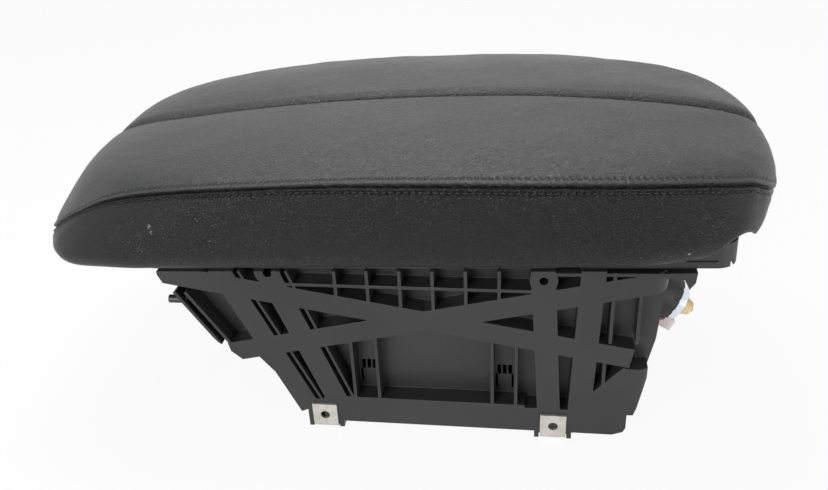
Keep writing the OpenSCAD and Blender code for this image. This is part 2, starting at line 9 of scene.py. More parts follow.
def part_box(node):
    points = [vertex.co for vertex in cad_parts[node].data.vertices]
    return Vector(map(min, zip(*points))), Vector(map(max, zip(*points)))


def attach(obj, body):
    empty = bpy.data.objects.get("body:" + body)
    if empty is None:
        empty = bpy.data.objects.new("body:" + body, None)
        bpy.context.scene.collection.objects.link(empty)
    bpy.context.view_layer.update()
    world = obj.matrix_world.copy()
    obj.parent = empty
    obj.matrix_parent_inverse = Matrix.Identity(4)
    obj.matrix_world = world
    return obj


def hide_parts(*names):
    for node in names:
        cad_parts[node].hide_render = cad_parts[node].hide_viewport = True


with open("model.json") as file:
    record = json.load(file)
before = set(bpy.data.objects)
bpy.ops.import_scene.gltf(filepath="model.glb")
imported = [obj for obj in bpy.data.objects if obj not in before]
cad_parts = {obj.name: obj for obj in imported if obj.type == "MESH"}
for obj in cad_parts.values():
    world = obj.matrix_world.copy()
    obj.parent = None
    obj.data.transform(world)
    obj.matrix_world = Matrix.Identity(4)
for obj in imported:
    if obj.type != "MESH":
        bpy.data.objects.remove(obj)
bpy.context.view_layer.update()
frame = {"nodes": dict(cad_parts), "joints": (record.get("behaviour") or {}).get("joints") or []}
print("frame loaded,", len(frame["nodes"]), "nodes")

scene = bpy.context.scene
mm = 0.001
photoWidth = 828

# Camera at the photo's view

cameraPlace = {
    "azimuth": 9.057,
    "elevation": 28.987,
    "roll": -3.071,
    "focalPixels": 850,
    "location": (0.0804, -0.51274, 0.37022),
}


def addCamera(place):
    az, el, roll = (math.radians(place[k]) for k in ("azimuth", "elevation", "roll"))
    back = Vector((math.sin(az) * math.cos(el), -math.cos(az) * math.cos(el), math.sin(el)))
    right = (-back).cross(Vector((0, 0, 1))).normalized()
    up = right.cross(-back)
    across = math.cos(roll) * right + math.sin(roll) * up
    upright = math.cos(roll) * up - math.sin(roll) * right
    data = bpy.data.cameras.new("camera")
    data.sensor_width = 36
    data.lens = place["focalPixels"] / photoWidth * data.sensor_width
    camera = bpy.data.objects.new("camera", data)
    camera.matrix_world = Matrix.Translation(place["location"]) @ Matrix((across, upright, back)).transposed().to_4x4()
    scene.collection.objects.link(camera)
    scene.camera = camera


addCamera(cameraPlace)


# Node helpers: an input's value may be a number, a colour or the socket that feeds it

def addNode(tree, kind, inputs=None, **settings):
    node = tree.nodes.new(kind)
    for key, value in settings.items():
        setattr(node, key, value)
    for key, value in (inputs or {}).items():
        if isinstance(value, bpy.types.NodeSocket):
            tree.links.new(value, node.inputs[key])
        else:
            node.inputs[key].default_value = value
    return node


def mathNode(tree, operation, *values):
    return addNode(tree, "ShaderNodeMath", dict(enumerate(values)), operation=operation).outputs[0]


def product(tree, first, second):
    return mathNode(tree, "MULTIPLY", first, second)


def mapped(tree, value, fromLow, fromHigh, low, high, **settings):  # one range laid over another
    ends = {0: value, 1: fromLow, 2: fromHigh, 3: low, 4: high}
    return addNode(tree, "ShaderNodeMapRange", ends, **settings).outputs[0]


def noise(tree, place, scale, detail, output="Fac", **more):
    inputs = {"Vector": place, "Scale": scale, "Detail": detail, **more}
    return addNode(tree, "ShaderNodeTexNoise", inputs).outputs[output]


def stretched(tree, place, scale):
    return addNode(tree, "ShaderNodeMapping", {"Vector": place, "Scale": scale}).outputs[0]


def blended(tree, factor, first, second):  # two colours
    return addNode(tree, "ShaderNodeMix", {"Factor": factor, 6: first, 7: second}, data_type="RGBA").outputs[2]


def grey(tree, tone, red, blue):  # a grey with a slight cast
    parts = {0: product(tree, tone, red), 1: tone, 2: product(tree, tone, blue)}
    return addNode(tree, "ShaderNodeCombineColor", parts).outputs[0]


def objectPlace(tree):
    return addNode(tree, "ShaderNodeTexCoord").outputs["Object"]


def newMaterial(name):
    mat = bpy.data.materials.new(name)
    mat.use_nodes = True
    tree = mat.node_tree
    shader = tree.nodes["Principled BSDF"]
    return mat, tree, shader


# Floor, world and lamps

stageLook = {
    "floorSize": 8.0,
    "floorAlbedo": 0.8,
    "floorGrain": 0.02,
    "floorRoughness": 0.9,
    "seenWhite": 0.93,
    "worldLight": 0.36,
}
# Size, place and power of each lamp
lamps = {
    "topLamp": ((0.8, 0.45), (-0.1, 0.25, 1.15), 8.0),
    "stripLamp": ((0.6, 0.07), (-0.50, -1.28, 0.45), 12.0),
    "cornerLamp": ((0.25, 0.12), (0.97, -0.68, 0.06), 2.5),
}


def seenDirectly(tree):  # 1 for what the camera, a reflection or glass sees
    path = addNode(tree, "ShaderNodeLightPath")
    either = mathNode(tree, "MAXIMUM", path.outputs["Is Camera Ray"], path.outputs["Is Glossy Ray"])
    return mathNode(tree, "MAXIMUM", either, path.outputs["Is Transmission Ray"])


def floorMaterial(look):
    mat, tree, shader = newMaterial("floorWhite")
    grain = addNode(tree, "ShaderNodeTexNoise", {"Scale": 3.0, "Detail": 2.0})
    tone = mapped(tree, grain.outputs["Fac"], 0.0, 1.0, look["floorAlbedo"], look["floorAlbedo"] + look["floorGrain"])
    shader.inputs["Roughness"].default_value = look["floorRoughness"]
    tree.links.new(tone, shader.inputs["Base Color"])
    glow = addNode(tree, "ShaderNodeEmission", {"Strength": 1.0})
    factor = mathNode(tree, "MULTIPLY", seenDirectly(tree), look["seenWhite"])
    mix = addNode(tree, "ShaderNodeMixShader", {0: factor, 1: shader.outputs[0], 2: glow.outputs[0]})
    tree.links.new(mix.outputs[0], tree.nodes["Material Output"].inputs["Surface"])
    return mat


def addFloor(look):
    half = look["floorSize"] / 2
    mesh = bpy.data.meshes.new("floor")
    mesh.from_pydata([(-half, -half, 0), (half, -half, 0), (half, half, 0), (-half, half, 0)], [], [(0, 1, 2, 3)])
    floor = bpy.data.objects.new("floor", mesh)
    floor.data.materials.append(floorMaterial(look))
    scene.collection.objects.link(floor)


def setWorld(look):
    world = bpy.data.worlds.new("studio")
    world.use_nodes = True
    tree = world.node_tree
    level = mapped(tree, seenDirectly(tree), 0.0, 1.0, look["worldLight"], 1.0)
    tree.links.new(level, tree.nodes["Background"].inputs["Strength"])
    tree.nodes["Background"].inputs["Color"].default_value = (1, 1, 1, 1)
    scene.world = world


def addLamp(name, size, place, power, target=(0, 0, 0.12)):
    data = bpy.data.lights.new(name, "AREA")
    data.shape = "RECTANGLE"
    data.size, data.size_y = size
    data.energy = power
    lamp = bpy.data.objects.new(name, data)
    lamp.location = place
    lamp.rotation_euler = (Vector(target) - Vector(place)).to_track_quat("-Z", "Y").to_euler()
    scene.collection.objects.link(lamp)


addFloor(stageLook)
setWorld(stageLook)
for lampName, (lampSize, lampPlace, lampPower) in lamps.items():
    addLamp(lampName, lampSize, lampPlace, lampPower)
scene.view_settings.view_transform = "Standard"
print("camera, floor and lamps made")

# Padded lids: sizes in millimetres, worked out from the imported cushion

padLow, padHigh = (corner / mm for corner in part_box("right_cushion"))
deckTilt = math.atan2(frame["joints"][0]["axis"][2], frame["joints"][0]["axis"][0])
pad = {
    "front": padHigh.x,
    "rear": -padLow.x,
    "half": -padLow.y,
    "topZ": padHigh.z,
    "deckZ": 119,
    "splitGap": 0.8,
    "crestX": 25,
    "crestFall": (0.00036, 0.00033),  # of the crest line to the rear and to the front
    "endFall": (5, 214, 12),  # drop, reach and power of the rounding at both ends
    "crown": 8,
    "crownHalf": 112,
    "crownFront": (4.5, 200),  # how much flatter the crown is at this distance to the front
    "rimDrop": 4.2,
    "apronRise": 5.8,
    "apronStart": 130,
    "apronSlope": 0.16,
    "edgeHeight": 14.2,  # of the lower edge over the deck
    "edgeCentre": 9.5,
    "edgeSlope": 0.0285,
    "edgeBend": 0.000084,
    "frameCorner": (181.5, 81.5, 12),
    "lipRadius": 10,
    "lipWidth": 9,
    "splitDip": 3.6,
    "dipStart": 10,
    "dipLength": 150,
    "dipWidth": 38,
    "arcSteps": 180,
    "lowerRows": 13,
    "upperRows": 30,
    "coreRear": -170.3,
    "coreFront": 157.3,
    "coreHalf": 106.3,
    "coreSplit": 8.5,
    "coreTop": 44.4,
    "coreCorners": (44.3, 30.3),
}

# Side, front and rear inset, distance from the split, share of the height, squareness of the front and rear end
padRings = [
    [10, 17, 11, 0.8, 0, 4.8, 6.5], [4, 11.5, 4, 0.8, 0.06, 4.8, 6.5], [1.2, 7, 0, 0.8, 0.2, 4.6, 6.2],
    [0, 3, 0, 0.8, 0.4, 4, 5], [0.4, 0, 5, 0.8, 0.65, 3.5, 3.5], [2.2, 2.5, 14, 0.8, 0.85, 3.3, 3],
    [4.5, 6.5, 22, 0.8, 0.94, 3.1, 2.9], [9, 12, 30, 0.8, 0.98, 3, 2.8], [16, 20, 39, 1.6, 0.993, 2.9, 2.7],
    [30, 35, 53, 3.2, 1, 2.8, 2.6], [52, 56, 73, 5.5, 1, 2.8, 2.6], [80, 82, 94, 8, 1, 2.8, 2.6],
    [100, 106, 114, 11, 1, 2.8, 2.6],
]

seam = {
    # share of the way round from the front split to the rear one, and share of the pad's height
    "path": [(0, 0.56), (0.05, 0.555), (0.1, 0.58), (0.135, 0.74), (0.167, 0.8), (0.2, 0.85), (0.24, 0.895), (0.3, 0.918),
             (0.4, 0.933), (0.5, 0.944), (0.56, 0.948), (0.63, 0.938), (0.68, 0.923), (0.72, 0.897), (0.765, 0.845),
             (0.8, 0.746), (0.833, 0.58), (0.867, 0.37), (0.91, 0.3), (1, 0.28)],
    "rowOffsets": [0, 0.45, 0.95, 1.6, 2.6, 3.6, 4.4, 5.2, 6.4, 8],
    "stitchRow": 4.4,
    "stitchPitch": 3.9,
    # distance above the seam and height of the cover there: groove, folded lip, stitch line
    "profile": [(-10, 0), (-6.4, 0.25), (-5.2, 0.05), (-4.4, -0.6), (-3.6, 0.1), (-2.6, 0.45), (-1.8, 0.1), (-1.2, -1.0),
                (-0.6, -1.5), (-0.1, -1.4), (0.2, -0.2), (0.6, 0.75), (1.1, 0.95), (1.8, 0.7), (3.2, 0.3), (4.4, -0.5),
                (5.4, 0.15), (6.8, 0.1), (10, 0)],
}


def smoothThrough(rows, samples):  # smooth curve through evenly spaced rows, without overshoot
    rows = np.array(rows, float)
    slope = np.diff(rows, axis=0)
    tangent = np.zeros_like(rows)
    product = slope[:-1] * slope[1:]
    total = slope[:-1] + slope[1:]
    tangent[1:-1] = np.where(product > 0, 2 * product / np.where(total == 0, 1, total), 0)
    tangent[0], tangent[-1] = slope[0], slope[-1]
    k = np.clip(np.floor(samples).astype(int), 0, len(rows) - 2)
    f = (samples - k)[:, None]
    return ((2 * f ** 3 - 3 * f ** 2 + 1) * rows[k] + (f ** 3 - 2 * f ** 2 + f) * tangent[k]
            + (3 * f ** 2 - 2 * f ** 3) * rows[k + 1] + (f ** 3 - f ** 2) * tangent[k + 1])


def padTop(x, y):
    d = x - pad["crestX"]
    rearFall, frontFall = pad["crestFall"]
    endDrop, endReach, endPower = pad["endFall"]
    crest = pad["topZ"] - np.where(d > 0, frontFall, rearFall) * d ** 2 - endDrop * (np.abs(x) / endReach) ** endPower
    a = np.clip(1 - (y - pad["splitGap"]) / pad["lipWidth"], 0, 1)
    lip = pad["lipRadius"] * (1 - np.sqrt(1 - a ** 2))
    toRear = np.clip((pad["dipStart"] - x) / pad["dipLength"], -0.5, 1)
    dip = pad["splitDip"] * toRear * np.exp(-(y / pad["dipWidth"]) ** 2)
    less, distance = pad["crownFront"]
    crown = pad["crown"] - less * np.maximum(0, x) / distance
    return crest - dip - crown * (y / pad["crownHalf"]) ** 2 - lip


def padBottom(x, y):
    d = x - pad["edgeCentre"]
    cornerX, cornerY, corner = pad["frameCorner"]
    away = np.hypot(np.maximum(0, x - cornerX), np.maximum(0, y - cornerY)) - corner
    lift = np.minimum(pad["apronRise"], pad["apronSlope"] * np.maximum(0, x - pad["apronStart"]))
    rim = (pad["rimDrop"] * np.minimum(1, (x + 225) / 60) + 0.7 * lift) * np.clip((away - 4) / 5, 0, 1)
    edge = pad["deckZ"] + pad["edgeHeight"] + pad["edgeSlope"] * d - pad["edgeBend"] * d ** 2
    return edge + lift - 0.1 * np.maximum(0, -x - 165) - rim


def padHeight(x, y, share):
    low = padBottom(x, y)
    return low + (padTop(x, y) - low) * share


def evenly(points, count):  # the same line with evenly spaced points
    length = np.concatenate([[0], np.cumsum(np.linalg.norm(np.diff(points, axis=0), axis=1))])
    wanted = np.linspace(0, length[-1], count)
    return np.stack([np.interp(wanted, length, points[:, k]) for k in range(2)], axis=1)


def ringArc(ring, count):  # a ring's plan from its front split corner round the side to the rear one
    quarter = math.pi / 2 * np.linspace(0, 1, 700) ** 2.5
    halves = []
    for sign, reach, square in ((1, pad["front"] - ring[1], ring[5]), (-1, pad["rear"] - ring[2], ring[6])):
        x = sign * reach * np.cos(quarter) ** (2 / square)
        y = ring[3] + (pad["half"] - ring[0] - ring[3]) * np.sin(quarter) ** (2 / square)
        halves.append(np.stack([x, y], axis=1))
    return evenly(np.concatenate([halves[0], halves[1][-2::-1]]), count)


def padGrid():
    # rows run up from the bottom edge, columns go round: the arc, then back along the split
    steps = pad["arcSteps"]
    levels = np.linspace(0, len(padRings) - 1, 481)
    rings = smoothThrough(padRings, levels)
    plan = np.array([ringArc(ring, steps + 1) for ring in rings])
    height = padHeight(plan[..., 0], plan[..., 1], rings[:, 4:5])
    table = np.concatenate([plan, height[..., None]], axis=2)

    round_ = np.linspace(0, 1, steps + 1)
    knots = smoothThrough(np.array(seam["path"]), np.linspace(0, len(seam["path"]) - 1, 400))
    seamShare = np.interp(round_, knots[:, 0], knots[:, 1])
    seamLevel = np.interp(seamShare, rings[:, 4] + levels * 1e-9, levels)

    offsets = np.array(seam["rowOffsets"])
    near = np.concatenate([-offsets[:0:-1], offsets])
    rowLevels, rowOffsets = [], []
    for i in range(steps + 1):
        line = table[:, i]
        length = np.concatenate([[0], np.cumsum(np.linalg.norm(np.diff(line, axis=0), axis=1))])
        at = np.interp(seamLevel[i], levels, length)
        lower = np.linspace(0, at + near[0], pad["lowerRows"] + 1)[:-1]
        upper = at + near[-1] + (length[-1] - at - near[-1]) * np.linspace(0, 1, pad["upperRows"] + 1)[1:] ** 1.15
        rows = np.concatenate([lower, at + near, upper])
        rowLevels.append(np.interp(rows, length, levels))
        rowOffsets.append(rows - at)
    rowLevels, rowOffsets = np.array(rowLevels).T, np.array(rowOffsets).T

    count = rowLevels.shape[0]
    back = np.linspace(0, 1, steps + 1)[1:-1]
    backLevels = rowLevels[:, -1:] * (1 - back) + rowLevels[:, :1] * back
    backOffsets = rowOffsets[:, -1:] * (1 - back) + rowOffsets[:, :1] * back
    grid = np.zeros((count, 2 * steps, 3))
    for i in range(steps + 1):
        for k in range(3):
            grid[:, i, k] = np.interp(rowLevels[:, i], levels, table[:, i, k])
    values = np.stack([np.interp(backLevels, levels, rings[:, k]) for k in range(5)], axis=-1)
    x = -(pad["rear"] - values[..., 2]) * (1 - back) + (pad["front"] - values[..., 1]) * back
    grid[:, steps + 1:, 0] = x
    grid[:, steps + 1:, 1] = values[..., 3]
    grid[:, steps + 1:, 2] = padHeight(x, values[..., 3], values[..., 4])
    return grid, np.concatenate([rowOffsets, backOffsets], axis=1)


def gridNormals(grid):
    along = np.roll(grid, -1, axis=1) - np.roll(grid, 1, axis=1)
    across = np.gradient(grid, axis=0)
    normal = np.cross(along, across)
    normal /= np.linalg.norm(normal, axis=2, keepdims=True) + 1e-12
    return normal


def capFaces(base, columns):  # closes a ring, whose second half runs back beside the first
    steps = columns // 2
    faces = []
    for i in range(steps):
        a, b, c, d = i, i + 1, (columns - i - 1) % columns, (columns - i) % columns
        face = [base + k for k in dict.fromkeys((a, b, c, d))]
        faces.append(face)
    return faces


def gridFaces(rows, columns):
    faces = []
    for j in range(rows - 1):
        for i in range(columns):
            low, high, nextColumn = j * columns, (j + 1) * columns, (i + 1) % columns
            faces.append((low + i, low + nextColumn, high + nextColumn, high + i))
    return faces + capFaces(0, columns) + capFaces((rows - 1) * columns, columns)


def gridMesh(name, grid):
    rows, columns = grid.shape[:2]
    mesh = bpy.data.meshes.new(name)
    mesh.from_pydata((grid.reshape(-1, 3) * mm).tolist(), [], gridFaces(rows, columns))
    work = bmesh.new()
    work.from_mesh(mesh)
    bmesh.ops.recalc_face_normals(work, faces=work.faces)
    work.to_mesh(mesh)
    work.free()
    return mesh


swell = {"step": 3, "pressure": 4.0, "frames": 20, "cap": 2.6, "start": 0.5}


def swollen(grid, offsets, normals):
    # the cover is blown up between its seam, its lower edge and the split, and the movement is capped
    step = swell["step"]
    rows = sorted(set(range(0, grid.shape[0], step)) | {grid.shape[0] - 1})
    columns = list(range(0, grid.shape[1], step))
    coarse = grid[rows][:, columns] - swell["start"] * normals[rows][:, columns]
    mesh = gridMesh("swellTrial", coarse)
    trial = bpy.data.objects.new("swellTrial", mesh)
    scene.collection.objects.link(trial)
    held = trial.vertex_groups.new(name="held")
    away = np.abs(offsets[rows][:, columns])
    hold = np.exp(-(away / 7) ** 2)
    hold[:1] = 1
    hold[1:3] = np.maximum(hold[1:3], 0.6)
    hold[:, np.array(columns) > pad["arcSteps"]] = 1
    hold[:, 0] = 1
    for index, weight in enumerate(hold.ravel()):
        if weight > 0.02:
            held.add([index], float(weight), "REPLACE")
    cloth = trial.modifiers.new("swell", "CLOTH")
    cloth.settings.vertex_group_mass = "held"
    cloth.settings.use_pressure = True
    cloth.settings.uniform_pressure_force = swell["pressure"]
    cloth.settings.effector_weights.gravity = 0
    cloth.settings.tension_stiffness = cloth.settings.compression_stiffness = 25
    cloth.settings.bending_stiffness = 2
    cloth.collision_settings.use_collision = False
    cloth.point_cache.frame_end = swell["frames"]
    for number in range(1, swell["frames"] + 1):
        scene.frame_set(number)
    done = trial.evaluated_get(bpy.context.evaluated_depsgraph_get()).to_mesh()
    moved = np.zeros(len(done.vertices) * 3)
    done.vertices.foreach_get("co", moved)
    move = moved.reshape(coarse.shape) / mm - coarse
    scene.frame_set(1)
    bpy.data.objects.remove(trial)
    size = np.linalg.norm(move, axis=2, keepdims=True)
    print("swell: largest movement", round(float(size.max()), 2), "mm before the cap")
    move *= swell["cap"] * np.tanh(size / swell["cap"]) / np.maximum(size, 1e-9)
    # back to the fine grid
    wide = np.concatenate([move, move[:, :1]], axis=1)
    columnPlaces = np.array(columns + [grid.shape[1]])
    fine = np.zeros((len(rows), grid.shape[1], 3))
    for j in range(len(rows)):
        for k in range(3):
            fine[j, :, k] = np.interp(np.arange(grid.shape[1]), columnPlaces, wide[j, :, k])
    full = np.zeros_like(grid)
    for i in range(grid.shape[1]):
        for k in range(3):
            full[:, i, k] = np.interp(np.arange(grid.shape[0]), rows, fine[:, i, k])
    return full


def unevenness(grid, seed):  # slow waves of the foam and the cover, in millimetres
    rng = np.random.default_rng(seed)
    height = np.zeros(grid.shape[:2])
    for wave, size in ((90, 0.25), (45, 0.16), (22, 0.09), (13, 0.05)):
        for _ in range(4):
            direction = rng.normal(size=3)
            direction /= np.linalg.norm(direction)
            height += size * np.sin(grid @ direction * 2 * math.pi / wave + rng.uniform(0, 6.28)) / 2
    return height


def undersideRows(edge):  # from the lower edge inwards to the core, and up beside it
    x, y = edge[:, 0], edge[:, 1]
    insideX = np.clip(x, pad["coreRear"], pad["coreFront"])
    insideY = np.clip(y, pad["coreSplit"], pad["coreHalf"])
    rearCorner, frontCorner = pad["coreCorners"]
    for sign, end, radius in ((-1, pad["coreRear"], rearCorner), (1, pad["coreFront"], frontCorner)):
        for side, line in ((1, pad["coreHalf"]), (-1, pad["coreSplit"])):
            cx, cy = end - sign * radius, line - side * radius
            dx, dy = x - cx, y - cy
            corner = (dx * sign > 0) & (dy * side > 0)
            reach = np.maximum(np.hypot(dx, dy), 1e-9)
            insideX = np.where(corner, cx + radius * dx / reach, insideX)
            insideY = np.where(corner, cy + radius * dy / reach, insideY)
    inner = np.stack([insideX, insideY, padBottom(insideX, insideY) + 0.6], axis=1)
    top = inner.copy()
    top[:, 2] = pad["deckZ"] + insideX * math.tan(deckTilt) + pad["coreTop"]
    rows = [top, top * 0.5 + inner * 0.5, inner]
    for share in (0.5, 0.8):
        fold = edge * share + inner * (1 - share)
        fold[:, 2] = padBottom(fold[:, 0], fold[:, 1]) + 0.2
        rows.append(fold)
    return np.stack(rows)


def leatherCushion(name, side, seed, materials):
    grid, offsets = padGrid()
    normals = gridNormals(grid)
    grid = grid - swell["start"] * normals + swollen(grid, offsets, normals)
    normals = gridNormals(grid)
    steps = pad["arcSteps"]
    x, height = np.array(seam["profile"]).T
    cover = np.interp(offsets, x, height)
    places = np.arange(grid.shape[1])
    onArc = np.clip(1 - np.maximum(places - steps, 0) / 4, 0, 1) * (places <= steps) + 0.0
    fromEnd = np.minimum(places, np.maximum(steps - places, 0))
    onArc = onArc * np.clip(0.3 + fromEnd / 3, 0, 1)
    free = np.clip((grid[..., 1] - 2) / 25, 0, 1)
    grid = grid + normals * (cover * onArc + unevenness(grid, seed) * free)[..., None]
    grid[..., 1] = np.maximum(grid[..., 1], 0.55)

    seamRow = int(np.argmin(np.abs(offsets[:, steps // 2])))
    path = grid[seamRow]
    length = np.concatenate([[0], np.cumsum(np.linalg.norm(np.diff(path, axis=0), axis=1))])
    full = np.concatenate([undersideRows(grid[0]), grid])
    extra = full.shape[0] - grid.shape[0]
    fullOffsets = np.concatenate([np.repeat(offsets[:1], extra, axis=0) - 1, offsets])
    full[..., 1] *= side
    mesh = gridMesh(name, full)

    layer = mesh.uv_layers.new(name="seamPath")
    columns = full.shape[1]
    loopVertex = np.zeros(len(mesh.loops), int)
    mesh.loops.foreach_get("vertex_index", loopVertex)
    uv = np.stack([length[loopVertex % columns], fullOffsets.ravel()[loopVertex]], axis=1) * mm
    layer.data.foreach_set("uv", uv.ravel())
    rowSteps = np.linalg.norm(np.diff(grid, axis=0, prepend=grid[:1]), axis=2)
    fromEdge = np.concatenate([np.zeros((extra, columns)), np.cumsum(rowSteps, axis=0)])
    hemAndPaintedBounce = mesh.attributes.new("edgeDistance", "FLOAT", "POINT")
    hemAndPaintedBounce.data.foreach_set("value", (fromEdge * mm).ravel())
    for mat in materials:
        mesh.materials.append(mat)
    top = [int(min(fullOffsets.ravel()[v] for v in face.vertices) > -0.2) for face in mesh.polygons]
    mesh.polygons.foreach_set("material_index", top)
    mesh.polygons.foreach_set("use_smooth", [True] * len(mesh.polygons))
    cushion = bpy.data.objects.new(name, mesh)
    scene.collection.objects.link(cushion)
    smooth = cushion.modifiers.new("smooth", "SUBSURF")
    smooth.levels = smooth.render_levels = 1
    rows = {}
    for sign in (1, -1):
        row = int(np.argmin(np.abs(offsets[:, steps // 2] - sign * seam["stitchRow"])))
        line = grid[row, 1:steps].copy()
        out = normals[row, 1:steps].copy()
        line[:, 1] *= side
        out[:, 1] *= side
        rows[sign] = (line * mm, out)
    return cushion, rows


# Leather, in one look for the top panels and one for the side bands: the same leather twice, with the top's tone
# painted lighter as lit and the band's tone painted darker as shaded

# the top's tone is painted lighter, as where the overhead lamp falls
topLeatherLit = {
    "tone": 0.026, "roughness": 0.38, "specular": 0.5, "cell": (0.0040, 0.0013, 0.0013), "crease": 0.6,
    "depth": 0.00034, "wrinkle": 0.9, "hemAndPaintedBounce": 1.0, "creaseShade": 0.55,
}
# the band's tone is painted darker, as shade on the side band
bandLeatherShaded = {
    "tone": 0.009, "roughness": 0.24, "specular": 0.26, "cell": (0.0019, 0.0016, 0.0014), "crease": 1.0,
    "depth": 0.00040, "wrinkle": 0.2, "hemAndPaintedBounce": 2.4, "creaseShade": 0.2,
}
# Small marks: place, radius, brightness
scuffs = [((-0.1340, -0.1138, 0.1542), 0.0011, 0.5), ((-0.1325, -0.1153, 0.1512), 0.0009, 0.4),
          ((0.1629, -0.1089, 0.1416), 0.0007, 0.4), ((0.1065, 0.0818, 0.1888), 0.0012, 0.001)]


def leatherMaterial(name, look):
    mat, tree, shader = newMaterial(name)
    place = objectPlace(tree)
    drift = noise(tree, place, 160.0, 1.0, "Color")
    shift = addNode(tree, "ShaderNodeVectorMath", {0: drift, 1: (0.0018, 0.0018, 0.0018)}, operation="MULTIPLY")
    bent = addNode(tree, "ShaderNodeVectorMath", {0: place, 1: shift.outputs[0]}, operation="ADD").outputs[0]
    scaled = stretched(tree, bent, tuple(1 / size for size in look["cell"]))
    edges = "DISTANCE_TO_EDGE"
    cells = addNode(tree, "ShaderNodeTexVoronoi", {"Vector": scaled, "Scale": 1.0, "Randomness": 1.0}, feature=edges)
    pebble = mapped(tree, cells.outputs["Distance"], 0.0, 0.24, 0.0, 1.0, interpolation_type="SMOOTHERSTEP")
    fineCells = addNode(tree, "ShaderNodeTexVoronoi", {"Vector": scaled, "Scale": 2.3}, feature=edges)
    fine = mapped(tree, fineCells.outputs["Distance"], 0.0, 0.3, 0.0, 1.0)
    wrinkle = noise(tree, stretched(tree, bent, (28, 300, 240)), 1.0, 3.0, Roughness=0.6)
    grain = mathNode(tree, "ADD", product(tree, pebble, look["crease"]), product(tree, fine, 0.22))
    grain = mathNode(tree, "ADD", grain, product(tree, wrinkle, look["wrinkle"]))
    edge = addNode(tree, "ShaderNodeAttribute", attribute_name="edgeDistance").outputs["Fac"]
    keep = mapped(tree, edge, 0.006, 0.020, 0.12, 1.0, interpolation_type="SMOOTHSTEP")
    grain = product(tree, grain, keep)

    # the thread pulls a dimple into the cover at each end of a stitch
    path = addNode(tree, "ShaderNodeUVMap", uv_map="seamPath").outputs[0]
    parts = addNode(tree, "ShaderNodeSeparateXYZ", {0: path})
    away = mathNode(tree, "SUBTRACT", mathNode(tree, "ABSOLUTE", parts.outputs[1]), seam["stitchRow"] * mm)
    squared = mathNode(tree, "POWER", mathNode(tree, "DIVIDE", away, 0.0013), 2.0)
    closeness = mathNode(tree, "EXPONENT", product(tree, squared, -1.0))
    turn = mathNode(tree, "COSINE", product(tree, parts.outputs[0], 2 * math.pi / (seam["stitchPitch"] * mm)))
    dimple = product(tree, product(tree, closeness, turn), 1.3)
    height = mathNode(tree, "ADD", grain, dimple)
    bump = addNode(tree, "ShaderNodeBump", {"Height": height, "Strength": 1.0, "Distance": look["depth"]})
    tree.links.new(bump.outputs[0], shader.inputs["Normal"])

    # worn and dusty patches; the grain's creases darkened as painted shade; a matte hem along the lower edge, made
    # paler as painted reflection of the white floor
    patches = noise(tree, place, 14.0, 4.0)
    tone = mathNode(tree, "MULTIPLY_ADD", patches, look["tone"] * 0.6, look["tone"] * 0.5)
    # painted shade: the grain's creases take a darker tone, down to the share set in the look
    tone = product(tree, tone, mapped(tree, pebble, 0.0, 1.0, look["creaseShade"], 1.08))
    # the lower edge: a rougher, matte hem, with its tone raised as painted reflection of the white floor
    hemAndPaintedBounce = mapped(tree, edge, 0.005, 0.018, 1.0, 0.0, interpolation_type="SMOOTHSTEP")
    tone = product(tree, tone, mathNode(tree, "MULTIPLY_ADD", hemAndPaintedBounce, look["hemAndPaintedBounce"] - 1, 1.0))
    tint = grey(tree, tone, 0.97, 1.06)
    ragged = noise(tree, place, 1300.0, 2.0)
    for spot, radius, bright in scuffs:
        gap = addNode(tree, "ShaderNodeVectorMath", {0: place, 1: spot}, operation="DISTANCE").outputs["Value"]
        gap = mathNode(tree, "MULTIPLY_ADD", mathNode(tree, "SUBTRACT", ragged, 0.5), 0.0045, gap)
        mark = mapped(tree, gap, radius, radius * 0.4, 0.0, 1.0)
        tint = blended(tree, mark, tint, (bright, bright, bright, 1))
    tree.links.new(tint, shader.inputs["Base Color"])
    rough = mapped(tree, patches, 0.3, 0.7, look["roughness"] - 0.04, look["roughness"] + 0.06)
    tree.links.new(mathNode(tree, "MULTIPLY_ADD", hemAndPaintedBounce, 0.2, rough), shader.inputs["Roughness"])
    shader.inputs["Specular IOR Level"].default_value = look["specular"]
    return mat


threadLook = {
    "dark": (0.012, 0.012, 0.013),
    "light": (0.045, 0.045, 0.047),
    "roughness": 0.5,
    "twist": 900.0,
    "depth": 0.0001,
}


def threadMaterial(look):
    mat, tree, shader = newMaterial("blackThread")
    waves = {"Vector": objectPlace(tree), "Scale": look["twist"], "Distortion": 3.0}
    twist = addNode(tree, "ShaderNodeTexWave", waves, bands_direction="DIAGONAL").outputs["Fac"]
    bump = addNode(tree, "ShaderNodeBump", {"Height": twist, "Strength": 0.7, "Distance": look["depth"]})
    tree.links.new(bump.outputs[0], shader.inputs["Normal"])
    tree.links.new(blended(tree, twist, (*look["dark"], 1), (*look["light"], 1)), shader.inputs["Base Color"])
    shader.inputs["Roughness"].default_value = look["roughness"]
    return mat


# the same leather made twice: a lit copy for the top panels and a copy with painted shade for the side bands
topSkinLit = leatherMaterial("leatherTopLit", topLeatherLit)
bandSkinShaded = leatherMaterial("leatherBandShaded", bandLeatherShaded)
thread = threadMaterial(threadLook)


# Stitches: one thread laid along each side of a seam

stitch = {"length": 3.1, "thickness": 0.62, "slant": 9, "sink": 0.12}


